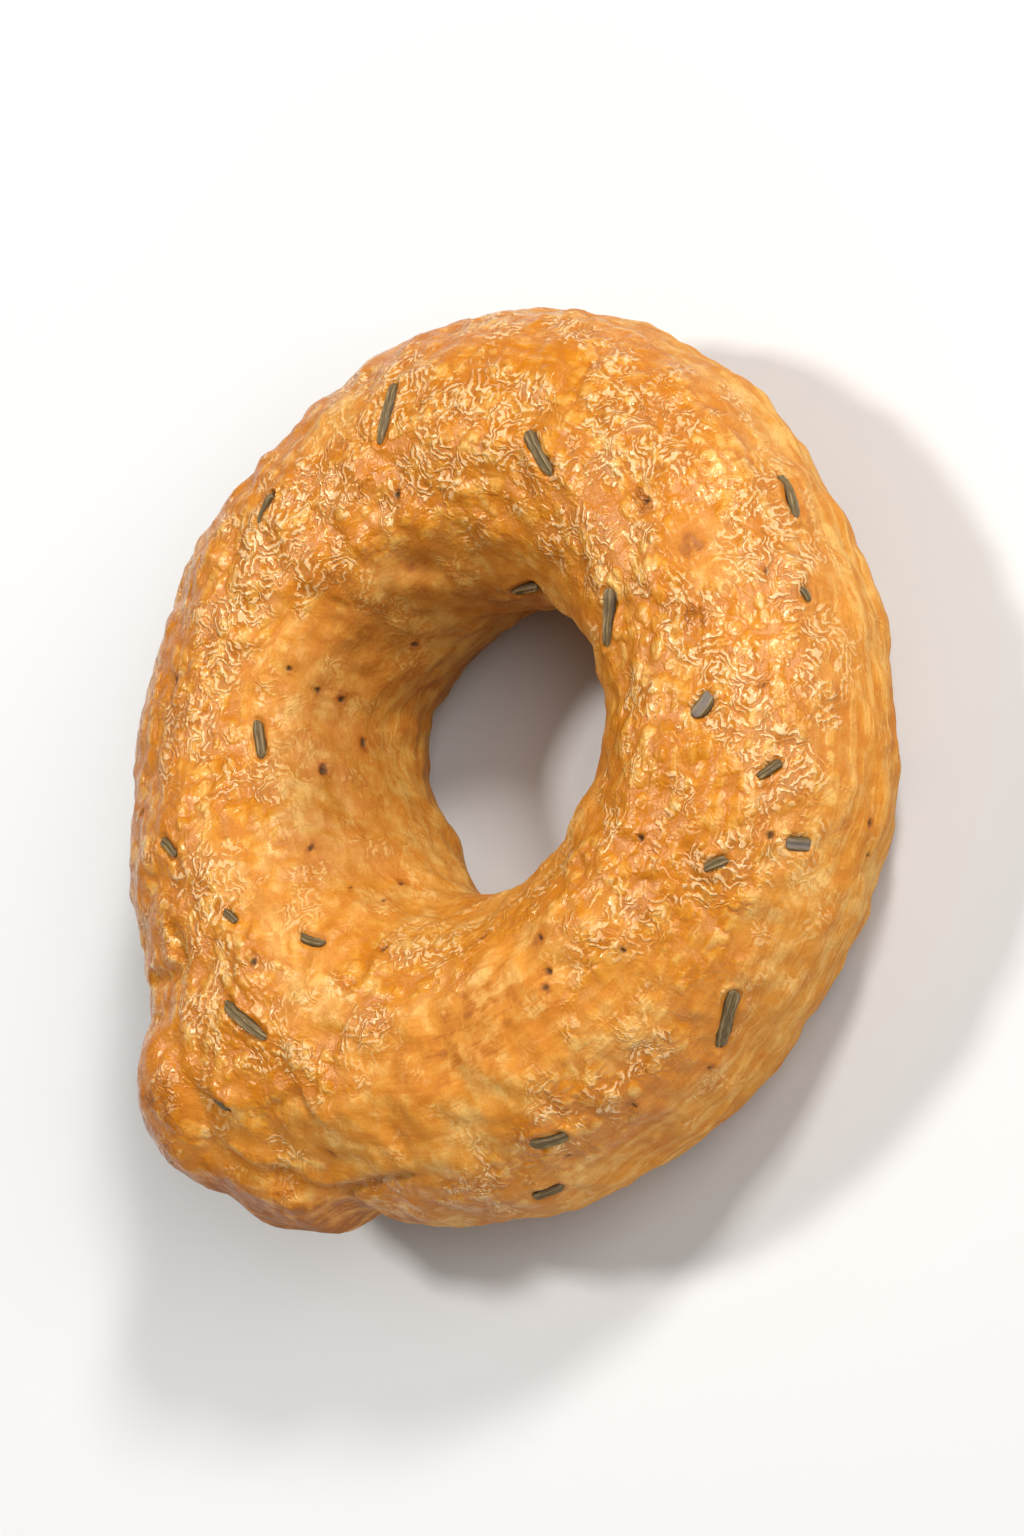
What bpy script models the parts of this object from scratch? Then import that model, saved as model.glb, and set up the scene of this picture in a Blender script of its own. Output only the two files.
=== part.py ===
"""A tarallo: a ring of oiled, golden-baked savoury biscuit with flakes of rosemary in its crust.

The ring is a rolled rope of dough, bent round until its ends meet. It lies flat, with its flat
baked underside on z = 0 and its hole along Z. The ends are pressed together at about 160 degrees
round from +X: the tip of the upper end stands out as a nub, and the lower end shows under it.
A place on the crust is given by two angles, alpha round the ring from +X, and beta round the
rope from its outer side, up over the top to the hole. Shapes are worked out in millimetres and
written to the meshes in metres.
"""

import math
import random

import bmesh
import bpy
from mathutils import Matrix, Vector, noise

MM = 0.001
PART_NAME = "tarallo"

# The rope at eight stations, 45 degrees apart round the ring from +X, in millimetres.
HOLE_TO_ROPE = [15.1, 14.7, 15.0, 14.7, 15.5, 14.8, 14.8, 14.7]
ROPE_RADIUS = [7.45, 7.55, 7.25, 8.35, 8.3, 7.8, 7.4, 7.05]
ROPE_HEIGHT = 6.7       # the rope's centre line over the flat underside
ROPE_FLATTENING = 0.97  # height of the rope's section over its width

RING_STEPS = 112
ROPE_STEPS = 40

# The joint's swellings, as rounded domes on the rope: place and turn in degrees, sizes in millimetres.
# A fullness of 0.5 is a ball that stands out sharply, and 2 a swelling that fades into the rope.
OVERLAP = dict(alpha=157, beta=22, turn=0, half_length=10.5, half_width=9.0, height=1.8, fullness=1.6)
NUB = dict(alpha=151, beta=23, turn=-16, half_length=4.4, half_width=4.6, height=2.3, fullness=1)
LOWER_END = dict(alpha=163.5, beta=6, turn=-6, half_length=7.4, half_width=5.0, height=1.5, fullness=0.9)
PINCH = dict(alpha=177, beta=-4, turn=0, half_length=1.7, half_width=4.5, height=-1.0, fullness=1)

# Uneven baking: lumps of a size and height in millimetres.
LUMPS = [(7.0, 0.28), (3.2, 0.22)]

# Rosemary that shows from above and in front: alpha, beta and turn from the ring's direction towards
# the hole, in degrees, then length and width in millimetres.
SHOWN_FLAKES = [
    (27, 74, 76, 3.4, 0.75),
    (57, 77, 22, 1.7, 0.35),
    (102, 120, 12, 2.1, 0.65),
    (122, 78, 37, 1.6, 0.6),
    (143, 95, 19, 1.1, 0.45),
    (161, 50, 0, 1.6, 0.5),
    (160, 77, 4, 3.5, 0.65),
    (163, 114, 19, 1.7, 0.55),
    (208, 16, 170, 1.7, 0.6),
    (214, 36, 162, 2.1, 0.9),
    (243, 22, 26, 3.5, 0.85),
    (262, 56, 135, 1.3, 0.6),
    (268, 28, 98, 1.4, 0.9),
    (277, 45, 133, 1.4, 0.5),
    (286, 73, 148, 1.4, 0.95),
    (302, 27, 30, 0.9, 0.5),
    (311, 115, 142, 3.0, 0.65),
    (317, 18, 172, 2.8, 0.75),
    (350, 90, 150, 2.8, 0.85),
    (357, 157, 28, 2.4, 0.6),
]

# Rosemary on the sides that face away: ranges of alpha and of beta in degrees, and how many flakes each
# range holds. They are spread evenly along it, each off its even place by at most this share of a step.
HIDDEN_STRETCHES = [((15, 140), (-45, 8), 6), ((205, 335), (174, 208), 4), ((200, 345), (-52, -46), 4)]
HIDDEN_SHIFT = 0.3
HIDDEN_TURN = (-25, 25)
HIDDEN_SEED = 12
HIDDEN_LENGTH = (1.3, 3.0)
HIDDEN_WIDTH = (0.55, 0.85)
FLAKE_THICKNESS = 0.5
FLAKE_SIDES = 6
SHARP_ANGLE = 40        # edges bent more than this, in degrees, stay sharp


def station_value(values, alpha):
    """Value at an angle round the ring, on a smooth closed curve through the stations."""
    step = math.tau / len(values)
    index = math.floor(alpha / step)
    f = alpha / step - index
    before, here, after, beyond = (values[(index + k) % len(values)] for k in (-1, 0, 1, 2))
    bend = 2 * before - 5 * here + 4 * after - beyond + f * (3 * (here - after) + beyond - before)
    return here + 0.5 * f * (after - before + f * bend)


def angle_between(angle, middle):
    """Signed angle from middle to angle, in radians, the short way round."""
    return (angle - middle + math.pi) % math.tau - math.pi


def dome_height(alpha, beta, dome):
    """Height in millimetres that a dome adds to the rope at a place on it."""
    middle_alpha = math.radians(dome["alpha"])
    middle_beta = math.radians(dome["beta"])
    radius = station_value(ROPE_RADIUS, middle_alpha)
    reach = station_value(HOLE_TO_ROPE, middle_alpha) + radius * math.cos(middle_beta)
    place = Vector((angle_between(alpha, middle_alpha) * reach, angle_between(beta, middle_beta) * radius))
    place.rotate(Matrix.Rotation(-math.radians(dome["turn"]), 2))
    share = (place.x / dome["half_length"]) ** 2 + (place.y / dome["half_width"]) ** 2
    return dome["height"] * max(1 - share, 0) ** dome["fullness"]


def surface_point(alpha, beta):
    """Place of the crust at two angles in radians, in millimetres."""
    outward = Vector((math.cos(alpha), math.sin(alpha), 0))
    section = outward * math.cos(beta) + Vector((0, 0, ROPE_FLATTENING * math.sin(beta)))
    centre = outward * station_value(HOLE_TO_ROPE, alpha) + Vector((0, 0, ROPE_HEIGHT))
    radius = station_value(ROPE_RADIUS, alpha)
    radius += dome_height(alpha, beta, OVERLAP)
    radius += math.hypot(dome_height(alpha, beta, NUB), dome_height(alpha, beta, LOWER_END))
    radius += dome_height(alpha, beta, PINCH)
    smooth = centre + section * radius
    radius += sum(height * noise.noise(smooth / size) for size, height in LUMPS)
    point = centre + section * radius
    point.z = max(point.z, 0)
    return point


def surface_frame(alpha, beta):
    """Matrix at a place on the crust: X along the ring, Y over the rope to the hole, Z outward."""
    step = math.radians(1)
    along = surface_point(alpha + step, beta) - surface_point(alpha - step, beta)
    outward = along.cross(surface_point(alpha, beta + step) - surface_point(alpha, beta - step))
    z = outward.normalized()
    x = along.normalized()
    frame = Matrix((x, z.cross(x), z)).transposed().to_4x4()
    frame.translation = surface_point(alpha, beta)
    return frame


def make_material(name, colour, roughness):
    material = bpy.data.materials.new(name)
    material.use_nodes = True
    shader = material.node_tree.nodes["Principled BSDF"]
    shader.inputs["Base Color"].default_value = (*colour, 1)
    shader.inputs["Roughness"].default_value = roughness
    shader.inputs["Metallic"].default_value = 0
    return material


def make_ring(crust, collection):
    """The ring of dough: a torus whose corners are moved to the crust's uneven form."""
    bpy.ops.mesh.primitive_torus_add(
        major_segments=RING_STEPS, minor_segments=ROPE_STEPS,
        major_radius=HOLE_TO_ROPE[0] * MM, minor_radius=ROPE_RADIUS[0] * MM)
    ring = bpy.context.object
    ring.name = PART_NAME
    ring.data.name = PART_NAME
    for old in list(ring.users_collection):
        old.objects.unlink(ring)
    collection.objects.link(ring)
    for corner in ring.data.vertices:
        alpha = math.atan2(corner.co.y, corner.co.x)
        beta = math.atan2(corner.co.z, corner.co.xy.length - HOLE_TO_ROPE[0] * MM)
        corner.co = surface_point(alpha, beta) * MM
    ring.data.materials.append(crust)
    ring.data.shade_smooth()
    return ring


def hidden_flakes():
    """Seeded places for the flakes on the sides that face away, spread evenly along each stretch."""
    draw = random.Random(HIDDEN_SEED)
    flakes = []
    for (first_alpha, last_alpha), betas, count in HIDDEN_STRETCHES:
        step = (last_alpha - first_alpha) / count
        for index in range(count):
            alpha = first_alpha + step * (index + 0.5 + draw.uniform(-HIDDEN_SHIFT, HIDDEN_SHIFT))
            turn = draw.uniform(*HIDDEN_TURN)
            flakes.append((alpha, draw.uniform(*betas), turn, draw.uniform(*HIDDEN_LENGTH),
                           draw.uniform(*HIDDEN_WIDTH)))
    return flakes


def make_flake(name, place, rosemary, collection):
    """One leaf of rosemary, a flat six-sided rod half sunk in the crust."""
    alpha, beta, turn, length, width = place
    form = bmesh.new()
    # A rod one unit long and wide, which then takes its size.
    bmesh.ops.create_cone(form, cap_ends=True, segments=FLAKE_SIDES, radius1=0.5, radius2=0.5, depth=1)
    lay_down = Matrix.Rotation(math.radians(90), 4, "Y")
    size = Matrix.Diagonal((length * MM, width * MM, FLAKE_THICKNESS * MM, 1))
    frame = surface_frame(math.radians(alpha), math.radians(beta))
    frame.translation *= MM
    direction = Matrix.Rotation(math.radians(turn), 4, "Z")
    bmesh.ops.transform(form, matrix=frame @ direction @ size @ lay_down, verts=form.verts)
    mesh = bpy.data.meshes.new(name)
    form.to_mesh(mesh)
    form.free()
    mesh.materials.append(rosemary)
    flake = bpy.data.objects.new(name, mesh)
    collection.objects.link(flake)


def bake_in(ring, flakes):
    """Join every flake of a collection to the ring, as one solid, and remove the collection."""
    union = ring.modifiers.new("Baked in", "BOOLEAN")
    union.operation = "UNION"
    union.operand_type = "COLLECTION"
    union.collection = flakes
    union.solver = "EXACT"
    union.material_mode = "TRANSFER"
    evaluated = ring.evaluated_get(bpy.context.evaluated_depsgraph_get())
    joined = bpy.data.meshes.new_from_object(evaluated)
    ring.modifiers.remove(union)
    loose = ring.data
    joined.shade_smooth()
    joined.set_sharp_from_angle(angle=math.radians(SHARP_ANGLE))
    ring.data = joined
    bpy.data.meshes.remove(loose)
    joined.name = ring.name
    for flake in list(flakes.objects):
        bpy.data.objects.remove(flake)
    bpy.data.collections.remove(flakes)


def centre_over_origin(ring):
    """Move the mesh until the middle of its box is over the origin."""
    xs = [corner.co.x for corner in ring.data.vertices]
    ys = [corner.co.y for corner in ring.data.vertices]
    middle = Vector((min(xs) + max(xs), min(ys) + max(ys), 0)) / 2
    ring.data.transform(Matrix.Translation(-middle))
    return middle


def make_tarallo():
    for old in list(bpy.data.objects):
        bpy.data.objects.remove(old)
    collection = bpy.data.collections.new(PART_NAME)
    bpy.context.scene.collection.children.link(collection)
    flakes = bpy.data.collections.new("flakes")
    bpy.context.scene.collection.children.link(flakes)
    crust = make_material("golden crust", (0.62, 0.30, 0.08), 0.38)
    rosemary = make_material("dried rosemary", (0.16, 0.13, 0.07), 0.7)
    ring = make_ring(crust, collection)
    for index, place in enumerate(SHOWN_FLAKES + hidden_flakes()):
        make_flake(f"flake_{index}", place, rosemary, flakes)
    bake_in(ring, flakes)
    middle = centre_over_origin(ring)
    print("hole's middle lies at", [round(-value / MM, 3) for value in middle.xy], "mm")
    return ring


make_tarallo()
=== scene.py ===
import math
import random

import bmesh
import bpy
from mathutils import Matrix, Vector, noise


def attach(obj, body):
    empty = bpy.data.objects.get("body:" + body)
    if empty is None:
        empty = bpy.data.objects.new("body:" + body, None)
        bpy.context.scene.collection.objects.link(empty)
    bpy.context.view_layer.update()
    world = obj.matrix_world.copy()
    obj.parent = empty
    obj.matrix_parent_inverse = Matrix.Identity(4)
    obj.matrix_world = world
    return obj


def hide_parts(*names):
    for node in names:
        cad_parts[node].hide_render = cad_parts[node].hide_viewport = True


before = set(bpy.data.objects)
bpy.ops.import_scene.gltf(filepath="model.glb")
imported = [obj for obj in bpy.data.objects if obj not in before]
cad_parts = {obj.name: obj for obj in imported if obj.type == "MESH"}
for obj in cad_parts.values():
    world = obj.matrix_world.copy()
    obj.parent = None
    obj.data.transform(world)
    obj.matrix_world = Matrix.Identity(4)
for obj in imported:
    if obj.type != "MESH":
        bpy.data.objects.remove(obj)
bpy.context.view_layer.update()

# A tarallo with rosemary, on a pale floor. Shapes are worked out in millimetres round the middle
# of the hole, and written to the meshes in metres. A place on the crust is alpha round the ring
# from +X and beta over the rope, from 0 on the outer side, 90 on the top, to 180 in the hole.

noise.seed_set(1)                               # noise_vector would differ from run to run without it
mm = 0.001
tau = math.tau

dough = {
    "holeMiddle": (1.583, -0.122),
    "holeToRope": [15.1, 14.7, 15.0, 14.7, 15.5, 14.8, 14.8, 14.7],  # eight stations, 45 degrees apart
    "ropeRadius": [7.45, 7.55, 7.25, 8.35, 8.3, 7.8, 7.4, 7.05],
    "ropeHeight": 6.7,
    "ropeFlattening": 0.97,
    "lumps": [(7.0, 0.28), (3.2, 0.22)],       # size and height of each
    "domes": {                                  # alpha, beta, turn, half length, half width, height, fullness
        "overlap": (157, 22, 0, 10.5, 9.0, 1.8, 1.6),
        "nub": (151, 23, -16, 4.4, 4.6, 2.3, 1),
        "lowerEnd": (163.5, 6, -6, 7.4, 5.0, 1.5, 0.9),
        "pinch": (177, -4, 0, 1.7, 4.5, -1.0, 1),
    },
    "stepsAround": 500,
    "stepsOver": 150,
    "undersideShare": 0.14,                     # share of the rope's steps that the flat underside gets
    "undersideHalf": 48,                        # half of the underside's part of the rope, in degrees
    "leastReach": 7,                            # from the hole's middle to the crust, in mm, at the least
}


def smooth(low, high, value):
    t = min(max((value - low) / (high - low), 0), 1)
    return t * t * (3 - 2 * t)


def stationValue(values, alpha):
    step = tau / len(values)
    index = math.floor(alpha / step)
    f = alpha / step - index
    before, here, after, beyond = (values[(index + k) % len(values)] for k in (-1, 0, 1, 2))
    bend = 2 * before - 5 * here + 4 * after - beyond + f * (3 * (here - after) + beyond - before)
    return here + 0.5 * f * (after - before + f * bend)


def angleBetween(angle, middle):
    return (angle - middle + math.pi) % tau - math.pi


# A function that gives the distance in mm from a mark on the crust, along the mark's length and width.
def markAt(alpha, beta, turn=0):
    alpha, beta, turn = math.radians(alpha), math.radians(beta), math.radians(turn)
    radius = stationValue(dough["ropeRadius"], alpha)
    reach = stationValue(dough["holeToRope"], alpha) + radius * math.cos(beta)
    cosTurn, sinTurn = math.cos(turn), math.sin(turn)

    def offset(a, b):
        x, y = angleBetween(a, alpha) * reach, angleBetween(b, beta) * radius
        return x * cosTurn + y * sinTurn, y * cosTurn - x * sinTurn

    return offset


def domeAt(alpha, beta, turn, halfLength, halfWidth, height, fullness):
    offset = markAt(alpha, beta, turn)

    def rise(a, b):
        x, y = offset(a, b)
        share = (x / halfLength) ** 2 + (y / halfWidth) ** 2
        return height * max(1 - share, 0) ** fullness

    return rise


domes = {name: domeAt(*values) for name, values in dough["domes"].items()}


# The dough before its skin, the same form as the solid's: centre of the rope, direction and radius.
def doughSection(alpha, beta):
    outward = Vector((math.cos(alpha), math.sin(alpha), 0))
    section = outward * math.cos(beta) + Vector((0, 0, dough["ropeFlattening"] * math.sin(beta)))
    centre = outward * stationValue(dough["holeToRope"], alpha) + Vector((0, 0, dough["ropeHeight"]))
    radius = stationValue(dough["ropeRadius"], alpha) + domes["overlap"](alpha, beta)
    ends = math.hypot(domes["nub"](alpha, beta), domes["lowerEnd"](alpha, beta))
    radius += ends + domes["pinch"](alpha, beta)
    smoothPoint = centre + section * radius
    radius += sum(height * noise.noise(smoothPoint / size) for size, height in dough["lumps"])
    return centre, section, radius


def atRadius(centre, section, radius):
    point = centre + section * radius
    point.z = max(point.z, 0)
    return point


def doughPoint(alpha, beta, extra=0):
    centre, section, radius = doughSection(alpha, beta)
    return atRadius(centre, section, radius + extra)


# Rosemary: alpha, beta and turn in degrees, then length and width in mm. The leaves shown face the
# camera, and the hidden stretches are a range of alpha, a range of beta and a number of leaves.
herbs = {
    "shown": [
        (27, 74, 76, 3.4, 0.75), (57, 77, 22, 1.7, 0.35), (102, 120, 12, 2.1, 0.65),
        (122, 78, 37, 1.6, 0.6), (143, 95, 19, 1.1, 0.45), (161, 50, 0, 1.6, 0.5), (160, 77, 4, 3.5, 0.65),
        (163, 114, 19, 1.7, 0.55), (208, 16, 170, 1.7, 0.6), (214, 36, 162, 2.1, 0.9),
        (243, 22, 26, 3.5, 0.85), (262, 56, 135, 1.3, 0.6), (268, 28, 98, 1.4, 0.9),
        (277, 45, 133, 1.4, 0.5), (286, 73, 148, 1.4, 0.95), (302, 27, 30, 0.9, 0.5),
        (311, 115, 142, 3.0, 0.65), (317, 18, 172, 2.8, 0.75), (350, 90, 150, 2.8, 0.85),
        (357, 157, 28, 2.4, 0.6),
    ],
    "hiddenStretches": [((15, 140), (-45, 8), 6), ((205, 335), (174, 208), 4), ((200, 345), (-52, -46), 4)],
    "hiddenShift": 0.3,
    "hiddenTurn": (-25, 25),
    "hiddenSeed": 12,
    "hiddenLength": (1.3, 3.0),
    "hiddenWidth": (0.55, 0.85),
    "visibleWidth": 0.88,                       # share of the width
    "thickness": 0.45,
    "sunk": 0.08,
    "tilt": (-0.05, 0.12), "bow": (-0.12, 0.12), "twist": (-0.25, 0.25),
    "bluntness": [3, 5, 8], "slant": (-0.8, 0.8),               # of the cut ends
    "endFrom": 0.8,                             # share of the half length where an end begins
    "raggedness": [(1.1, 1, 5.1, 0.22), (3.5, 2, 7.7, 0.1)],    # scales along and across, shift, amount
    "rollHeight": 0.05, "rollPlace": 0.55, "grooveDepth": 0.08, "lineWidth": 0.22, "unevenness": 0.05,
    "greyLeaves": [12, 14],
    "shapeSeed": 4,
    "sidesAround": 28,
    "sidesAlong": 24,
}


def hiddenHerbs():
    draw = random.Random(herbs["hiddenSeed"])
    found = []
    for (firstAlpha, lastAlpha), betas, count in herbs["hiddenStretches"]:
        step = (lastAlpha - firstAlpha) / count
        for index in range(count):
            shift = draw.uniform(-herbs["hiddenShift"], herbs["hiddenShift"])
            alpha = firstAlpha + step * (index + 0.5 + shift)
            turn = draw.uniform(*herbs["hiddenTurn"])
            found.append((alpha, draw.uniform(*betas), turn, draw.uniform(*herbs["hiddenLength"]),
                          draw.uniform(*herbs["hiddenWidth"])))
    return found


herbPlaces = herbs["shown"] + hiddenHerbs()

# The crust's skin and the small marks in it. Sizes in mm, angles in degrees.
skin = {
    # alpha, beta, radius, depth, width of the browned halo
    "pits": [
        (54, 74, 0.22, 0.2, 0.3), (27, 108, 0.26, 0.25, 0.3), (92, 72, 0.24, 0.2, 0.4),
        (82, 125, 0.16, 0.15, 0.3), (85, 139, 0.2, 0.15, 0.4), (86, 150, 0.26, 0.2, 0.5),
        (99, 163, 0.24, 0.2, 0.4), (57, 165, 0.18, 0.15, 0.3), (325, 74, 0.2, 0.25, 1.0),
        (289, 49, 0.15, 0.15, 0.5), (306, 41, 0.13, 0.1, 0.3), (111, 144, 0.28, 0.25, 0.4),
        (113, 59, 0.24, 0.15, 0.5), (138, 131, 0.2, 0.15, 0.3), (156, 138, 0.12, 0.1, 0.2),
        (162, 157, 0.16, 0.12, 0.3), (167, 144, 0.16, 0.1, 0.5), (183, 124, 0.22, 0.2, 0.4),
        (215, 121, 0.22, 0.15, 0.4), (155, 94, 0.22, 0.12, 0.6), (179, 45, 0.16, 0.1, 0.5),
        (261, 89, 0.26, 0.3, 0.4), (268, 40, 0.2, 0.2, 0.3), (273, -5, 0.22, 0.2, 0.3),
        (269, -11, 0.18, 0.15, 0.3), (232, 100, 0.22, 0.2, 0.5), (230, 87, 0.22, 0.2, 0.5),
        (228, 83, 0.2, 0.15, 0.4), (243, 71, 0.2, 0.2, 0.5), (236, 15, 0.13, 0.1, 0.4),
        (226, 27, 0.16, 0.08, 0.5), (214, 25, 0.14, 0.1, 0.4),
    ],
    "pitShare": 0.75,                           # share of the radius that a pit is made with
    "pitSeed": 5,
    "hiddenPits": 34,                           # half on the side that faces away, half on the near one
    "farPitAlpha": (10, 170), "farPitBeta": (-45, 15),
    "nearPitAlpha": (190, 350), "nearPitBetas": [(-55, -35), (160, 215)],
    "hiddenPitRadius": (0.12, 0.25), "hiddenPitDepth": (0.1, 0.22), "hiddenPitHalo": (0.3, 0.6),
    # alpha, beta, turn, half length, half width, strength of the brown. Those at alpha 161 to 175 with beta 5
    # to 18, on the joint's lower end, are browning and also painted shade.
    "stainsAndShade": [
        (302, 72, 20, 1.1, 0.8, 0.9), (314, 68, 60, 1.0, 0.8, 0.8), (335, 48, 0, 1.8, 1.1, 0.6),
        (325, 73, 0, 1.3, 1.0, 0.8), (34, 99, 30, 1.4, 0.5, 0.9), (32, 137, 150, 0.9, 0.45, 1.0),
        (152.5, 32, 10, 2.7, 2.6, 0.8), (169, 8, -4, 6.4, 3.2, 1.25), (200, 76, 0, 4.5, 2.4, 0.55),
        (211, 84, 10, 4.0, 2.6, 0.7), (226, 80, 40, 2.2, 1.2, 0.5), (175, 66, 90, 1.0, 0.3, 0.6),
        (235, 5, 150, 1.0, 0.15, 0.9), (290, 45, 20, 1.6, 0.9, 0.4), (10, 60, 0, 2.2, 1.4, 0.5),
        (345, 30, 0, 2.4, 1.3, 0.5), (302, 27, 0, 0.7, 0.5, 0.6), (158, 72, 0, 2.4, 0.8, 0.45),
        (45, 60, 0, 2.0, 1.0, 0.35), (100, 80, 0, 2.5, 1.2, 0.4), (165, 12, 20, 1.2, 0.5, 1.3),
        (171, 5, -10, 1.4, 0.6, 1.3), (175, 14, 0, 1.0, 0.5, 1.2), (161, 18, 30, 1.0, 0.5, 1.1),
        (151, 38, 0, 0.9, 0.7, 1.1), (150, 22, 0, 1.0, 0.6, 1.1), (348, 100, 0, 2.2, 1.0, 0.5),
        (130, 60, 0, 2.0, 1.2, 0.4),
    ],
    # alpha, beta, turn, half length, half width, depth
    "dents": [
        (32, 137, 150, 1.1, 0.6, 0.35), (34, 99, 30, 1.3, 0.5, 0.2), (60, 128, 20, 1.6, 0.9, 0.15),
        (300, 60, 0, 2.0, 1.5, 0.12), (250, 80, 30, 2.5, 1.5, 0.15), (20, 100, 0, 2.2, 1.5, 0.14),
    ],
    # alpha, beta, turn, half length, half width, share of the relief that is missing
    "calmPlaces": [
        (206, 78, 8, 6.5, 4.0, 0.85), (222, 92, 0, 4.5, 2.8, 0.8), (190, 52, 0, 6.5, 2.6, 0.85),
        (235, 60, 0, 4.0, 2.2, 0.5), (150, 112, 10, 6.0, 2.4, 0.5), (312, 60, 10, 2.2, 1.6, 0.5),
        (40, 62, 0, 2.5, 1.6, 0.5), (172, 96, 0, 3.2, 1.8, 0.5), (254, 20, 0, 7.0, 2.4, 0.5),
        (169, 12, 0, 6.0, 3.0, 0.3), (169, 41, 0, 5.5, 2.6, 0.35), (85, 124, 0, 5.0, 2.2, 0.5),
    ],
    # alpha, beta, turn, half length, half width, how densely the ridges stand there
    "crowdedPlaces": [
        (336, 64, 0, 3.4, 2.8, 1.0), (17, 104, 0, 2.4, 1.8, 0.9), (5, 76, 0, 3.4, 2.0, 1.0),
        (25, 70, 0, 2.4, 1.8, 0.7), (58, 88, 0, 3.2, 1.6, 1.0), (78, 96, 0, 3.4, 1.4, 1.0),
        (113, 124, 0, 1.8, 1.2, 0.8), (103, 84, 0, 2.2, 1.6, 0.8), (309, 36, 0, 2.6, 2.6, 1.0),
        (295, 24, 0, 2.4, 1.8, 0.9), (288, 62, 0, 2.6, 1.8, 0.9), (278, 40, 0, 2.6, 1.8, 0.9),
        (301, 76, 0, 2.4, 1.6, 0.9), (328, 104, 0, 1.8, 1.4, 0.8), (194, 130, 0, 3.0, 1.6, 0.8),
        (187, 90, 0, 1.8, 1.4, 1.0), (173, 76, 0, 1.4, 1.2, 0.9), (153, 42, 0, 1.0, 1.0, 1.0),
        (261, 56, 0, 2.0, 1.6, 0.8), (134, 90, 0, 2.2, 1.4, 0.8), (248, 70, 0, 1.6, 1.2, 0.7),
    ],
    # places along the crease, then width, depth, lip
    "creases": [
        ([(149, 50), (151, 51), (153, 50), (155, 49), (157, 47), (160, 47), (162, 47), (163, 50)],
         0.28, 0.3, 0.2),
        ([(161, 34), (166, 33), (170, 32), (174, 29), (177, 26), (181, 28), (186, 34), (191, 38)],
         0.4, 0.35, 0.2),
        ([(138, 46), (140, 54), (141, 64), (139, 68), (136, 68)], 0.4, 0.35, 0.2),
        ([(170, 57), (173, 64), (175, 66), (177, 61), (179, 58)], 0.25, 0.2, 0.14),
        ([(161, 49), (160, 42), (160, 36)], 0.4, 0.12, 0.0),
    ],
    "creaseReach": 12,                          # the most that a crease extends from its middle
    "pitFineMargin": 0.3, "seatFineMargin": 0.4,                # the mesh is finer this far round them
    "bumps": [(2.3, 0.25), (1.1, 0.17)],        # size and height of the small unevenness
    "flank": (0.55, -0.2),                      # sines of beta where the oiled top turns into the dry side
    "patchSize": 3.8, "patchShift": (9, 4, 2), "patchSoftness": 0.25,
    "blisterSize": 1.7, "blisterHeight": 0.1,   # rounded blisters on the oiled top
    "blisterReach": 0.62, "blisterMean": 0.45, "blisterWarp": 0.5, "warpSize": 1.5,
    "wrinkleSize": 2.2, "wrinkleLines": 2.0, "wrinkleHeight": 0.035,
    "streakLength": 4.0, "streakWidth": 0.7, "streakHeight": 0.08,
    "seatWidth": 0.2, "seatDepth": 0.12,        # the seat that a leaf sits in, and the rim round it
    "rimHeight": 0.07, "rimPlace": 0.22, "rimWidth": 0.16,
    "pitToast": 0.8, "seatToastAndShade": 0.45, "creaseShade": 0.5,     # how brown it is round each of these: browning round a pit, browning and painted shadow round a leaf, painted shade along a crease
}


def hiddenPits():
    draw = random.Random(skin["pitSeed"])
    found = []
    for index in range(skin["hiddenPits"]):
        if index % 2 == 0:
            alpha, beta = draw.uniform(*skin["farPitAlpha"]), draw.uniform(*skin["farPitBeta"])
        else:
            alpha = draw.uniform(*skin["nearPitAlpha"])
            beta = draw.choice([draw.uniform(*betas) for betas in skin["nearPitBetas"]])
        sizes = [draw.uniform(*skin[name]) for name in ("hiddenPitRadius", "hiddenPitDepth", "hiddenPitHalo")]
        found.append((alpha, beta, *sizes))
    return found


# Every mark is filed under the stretches of the ring that it reaches.
stretch = 3                                     # degrees
stretches = 360 // stretch
filed = {index: [] for index in range(stretches)}


def marksNear(alpha):
    return filed[math.floor(math.degrees(alpha) % 360 / stretch) % stretches]


def fileMark(kind, alpha, reachMm, values):
    spread = math.ceil(math.degrees(reachMm / dough["leastReach"]) / stretch) + 1
    middle = math.floor(alpha % 360 / stretch)
    for index in range(middle - spread, middle + spread + 1):
        filed[index % stretches].append((kind, values))


for alpha, beta, radius, depth, halo in skin["pits"] + hiddenPits():
    fileMark("pit", alpha, radius + 3 * halo, (markAt(alpha, beta), radius * skin["pitShare"], depth, halo))
ovalLists = {"toastAndShade": "stainsAndShade", "calm": "calmPlaces", "crowd": "crowdedPlaces", "dent": "dents"}
for kind, listName in ovalLists.items():
    for alpha, beta, turn, halfLength, halfWidth, amount in skin[listName]:
        fileMark(kind, alpha, 2 * halfLength, (markAt(alpha, beta, turn), halfLength, halfWidth, amount))
for alpha, beta, turn, length, width in herbPlaces:
    fileMark("seat", alpha, length / 2 + 1, (markAt(alpha, beta, turn), length / 2, width / 2))
for places, width, depth, lip in skin["creases"]:
    middleAlpha = sum(place[0] for place in places) / len(places)
    middleBeta = sum(place[1] for place in places) / len(places)
    offset = markAt(middleAlpha, middleBeta)
    line = [Vector(offset(math.radians(a), math.radians(b))) for a, b in places]
    fileMark("crease", middleAlpha, skin["creaseReach"], (offset, line, width, depth, lip))


def distanceToLine(point, line):
    best, side = 1e9, 1
    for start, end in zip(line, line[1:]):
        run = end - start
        share = min(max((point - start).dot(run) / run.length_squared, 0), 1)
        gap = point - start - run * share
        if gap.length < best:
            best = gap.length
            side = 1 if run.cross(gap) >= 0 else -1
    return best, side


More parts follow.
